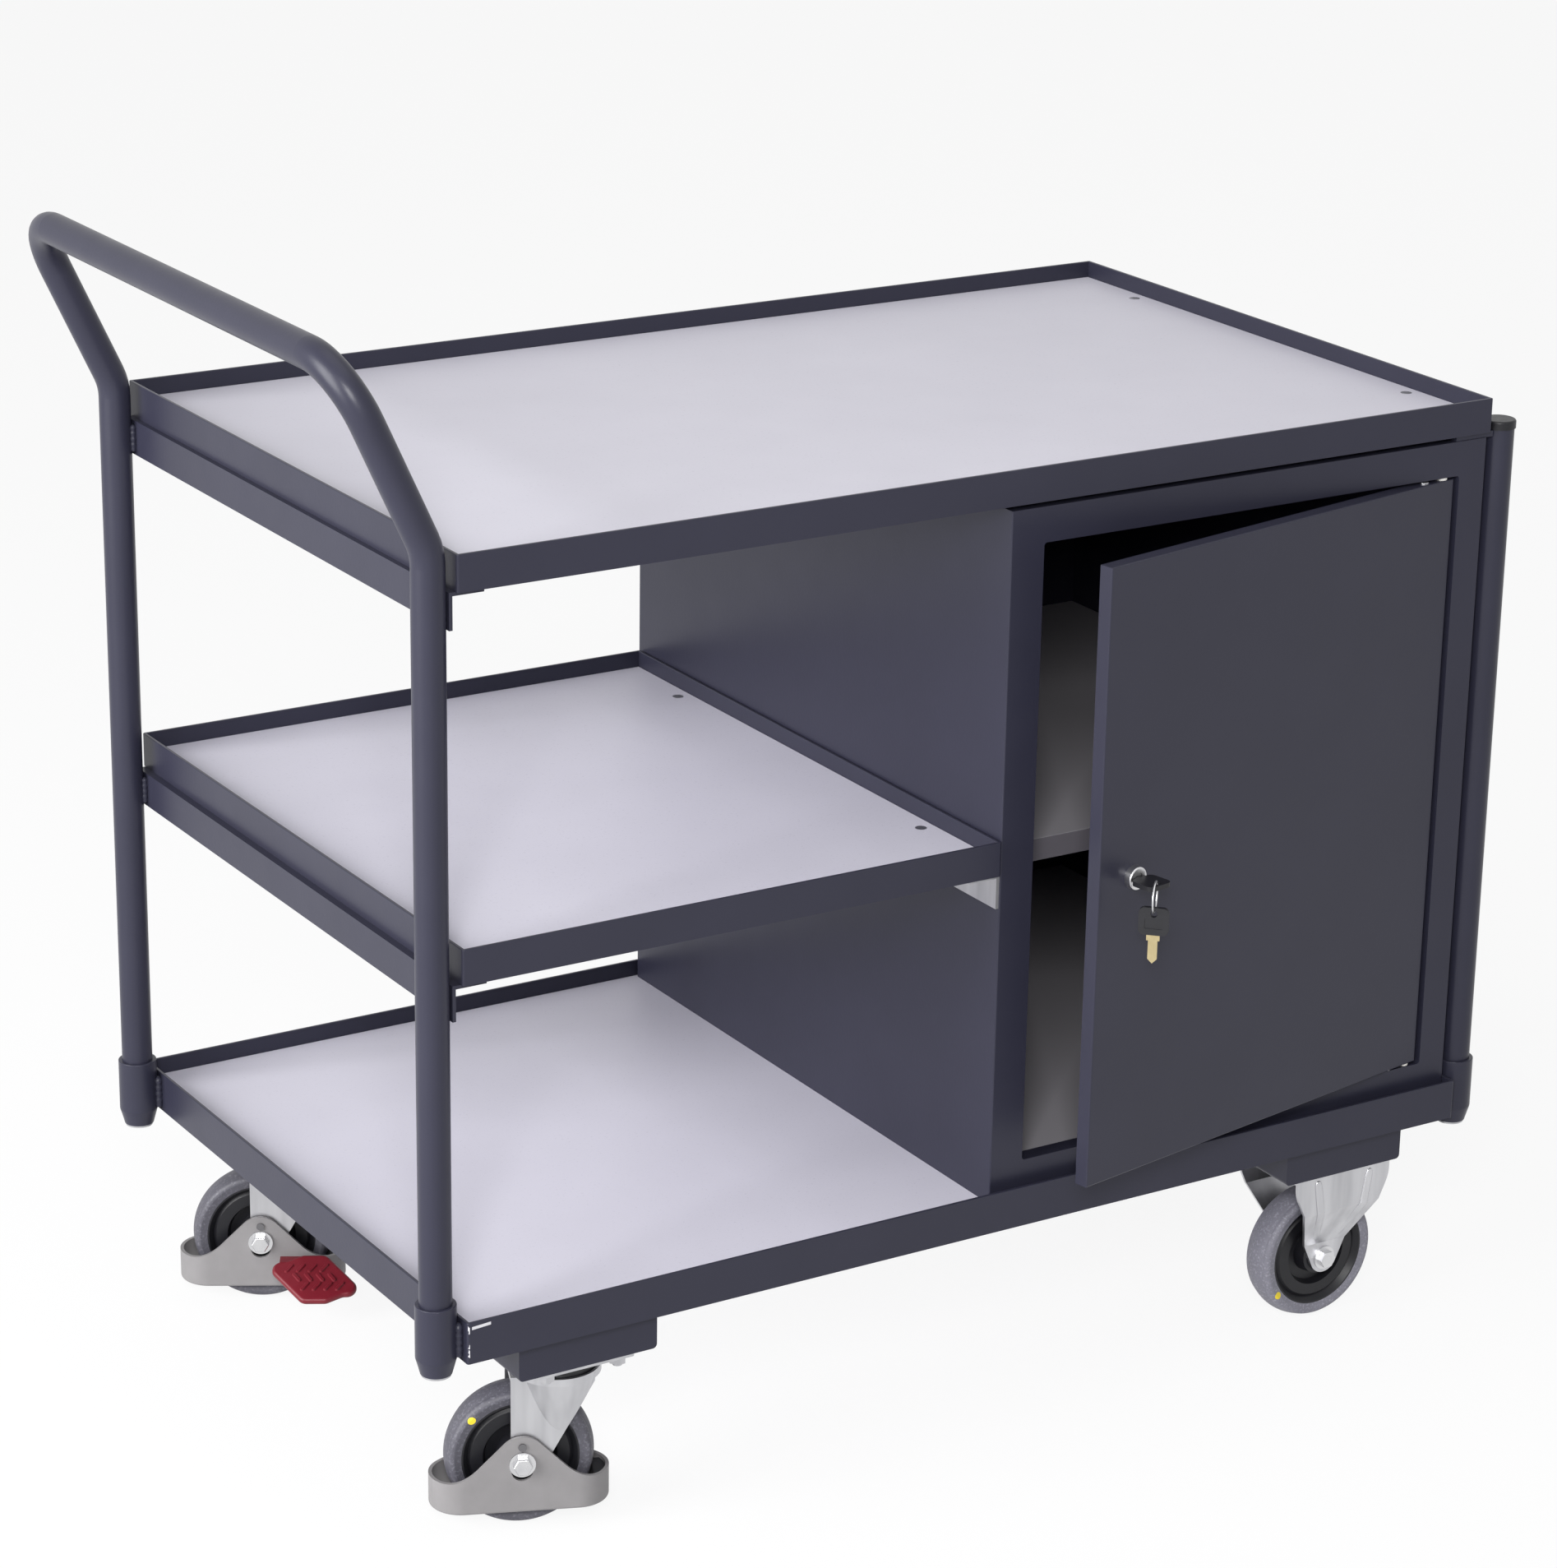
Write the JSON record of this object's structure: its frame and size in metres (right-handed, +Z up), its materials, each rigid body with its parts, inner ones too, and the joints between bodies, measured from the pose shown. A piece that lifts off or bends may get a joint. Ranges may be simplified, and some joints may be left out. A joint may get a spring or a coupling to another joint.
{
  "type": "workshop trolley",
  "caption": "Workshop trolley with stacked laminate decks, a leaning tube push handle, a lockable steel cabinet with a pivoted door, braked swivel casters and fixed casters.",
  "frame": {"origin": "floor point under the middle of the whole trolley's box, with the door ajar as at rest", "axes": "+X towards the cabinet end, -Y towards the side with the door, +Z up"},
  "size_m": [1.1366, 0.7248, 1.0244],
  "materials": {
    "grey_paint": "semi-gloss anthracite powder coat",
    "laminate": "light grey melamine laminate on board",
    "zinc": "bright zinc plating",
    "bright_steel": "polished plating",
    "tyre_grey": "grey thermoplastic rubber",
    "black_rubber": "black rubber",
    "black_plastic": "black moulded plastic",
    "grey_plastic": "grey moulded plastic",
    "red_plastic": "red moulded plastic",
    "white_nylon": "white nylon"
  },
  "bodies": {
    "chassis": {"base_tray": "grey_paint", "base_board": "laminate", "top_tray": "grey_paint", "top_board": "laminate", "middle_tray": "grey_paint", "middle_board": "laminate", "handle_tube": "grey_paint", "cabinet_posts": "grey_paint", "post_caps": "black_plastic", "post_sockets": "grey_paint", "socket_screws": "zinc", "top_end_rail": "grey_paint", "middle_end_rail": "grey_paint", "top_cross_bar": "grey_paint", "swivel_rail": "grey_paint", "fixed_rail": "grey_paint", "shelf_support_angle": "zinc", "deck_screws": "zinc", "cabinet_left_wall": "grey_paint", "cabinet_right_wall": "grey_paint", "cabinet_back": "grey_paint", "cabinet_roof": "grey_paint", "cabinet_floor": "grey_paint", "cabinet_front_frame": "grey_paint", "cabinet_shelf": "grey_paint", "shelf_clips": "zinc", "pivot_pins": "zinc", "caster_plates": "zinc", "kingpins": "zinc", "swivel_balls": "bright_steel", "caster_bolts": "zinc", "fixed_forks": "zinc", "fixed_axles": "bright_steel"},
    "door": {"door_panel": "grey_paint", "door_pivot_plates": "zinc", "pivot_bushes": "white_nylon", "lock_housing": "bright_steel"},
    "lock": {"lock_plug": "bright_steel", "lock_cam": "zinc", "key": "black_plastic"},
    "ring": {"key_ring": "bright_steel"},
    "spare": {"spare_key": "black_plastic"},
    "near_swivel": {"near_fork": "zinc", "near_axle": "bright_steel"},
    "near_roller": {"near_tyre": "tyre_grey", "near_wheel": "black_plastic"},
    "near_brake": {"near_guard": "grey_plastic", "near_brake_pad": "black_rubber"},
    "far_swivel": {"far_fork": "zinc", "far_axle": "bright_steel"},
    "far_roller": {"far_tyre": "tyre_grey", "far_wheel": "black_plastic"},
    "far_brake": {"far_guard": "grey_plastic", "far_pedal": "red_plastic", "far_brake_pad": "black_rubber"},
    "fixed_near_roller": {"fixed_near_tyre": "tyre_grey", "fixed_near_wheel": "black_plastic"},
    "fixed_far_roller": {"fixed_far_tyre": "tyre_grey", "fixed_far_wheel": "black_plastic"}
  },
  "joints": [
    {"name": "door_hinge", "type": "hinge", "parent": "chassis", "child": "door", "pos_m": [0.48804, -0.23918, 0.52], "axis": [0, 0, 1], "range_deg": [-11, 94]},
    {"name": "lock_turn", "type": "hinge", "parent": "door", "child": "lock", "pos_m": [0.12117, -0.31711, 0.52], "axis": [-0.1908, 0.9816, 0], "range_deg": [0, 90]},
    {"name": "key_ring_swing", "type": "hinge", "parent": "lock", "child": "ring", "pos_m": [0.11856, -0.35224, 0.514], "axis": [0.7193, -0.6947, 0], "range_deg": [-25, 25]},
    {"name": "spare_key_swing", "type": "hinge", "parent": "ring", "child": "spare", "pos_m": [0.11856, -0.35224, 0.501], "axis": [-0.6947, -0.7193, 0], "range_deg": [-25, 25]},
    {"name": "near_swivel_turn", "type": "hinge", "parent": "chassis", "child": "near_swivel", "pos_m": [-0.35196, -0.19368, 0.16], "axis": [0, 0, 1], "continuous": true},
    {"name": "near_wheel_spin", "type": "hinge", "parent": "near_swivel", "child": "near_roller", "pos_m": [-0.38163, -0.18169, 0.0625], "axis": [-0.3746, -0.9272, 0], "continuous": true},
    {"name": "near_brake_press", "type": "hinge", "parent": "near_swivel", "child": "near_brake", "pos_m": [-0.38163, -0.18169, 0.078], "axis": [0.3746, 0.9272, 0], "range_deg": [0, 5]},
    {"name": "far_swivel_turn", "type": "hinge", "parent": "chassis", "child": "far_swivel", "pos_m": [-0.35196, 0.29632, 0.16], "axis": [0, 0, 1], "continuous": true},
    {"name": "far_wheel_spin", "type": "hinge", "parent": "far_swivel", "child": "far_roller", "pos_m": [-0.37995, 0.31183, 0.0625], "axis": [-0.4848, -0.8746, 0], "continuous": true},
    {"name": "far_brake_press", "type": "hinge", "parent": "far_swivel", "child": "far_brake", "pos_m": [-0.37995, 0.31183, 0.078], "axis": [0.4848, 0.8746, 0], "range_deg": [0, 5]},
    {"name": "fixed_near_wheel_spin", "type": "hinge", "parent": "chassis", "child": "fixed_near_roller", "pos_m": [0.43004, -0.19368, 0.0625], "axis": [0, 1, 0], "continuous": true},
    {"name": "fixed_far_wheel_spin", "type": "hinge", "parent": "chassis", "child": "fixed_far_roller", "pos_m": [0.43004, 0.29632, 0.0625], "axis": [0, 1, 0], "continuous": true}
  ]
}
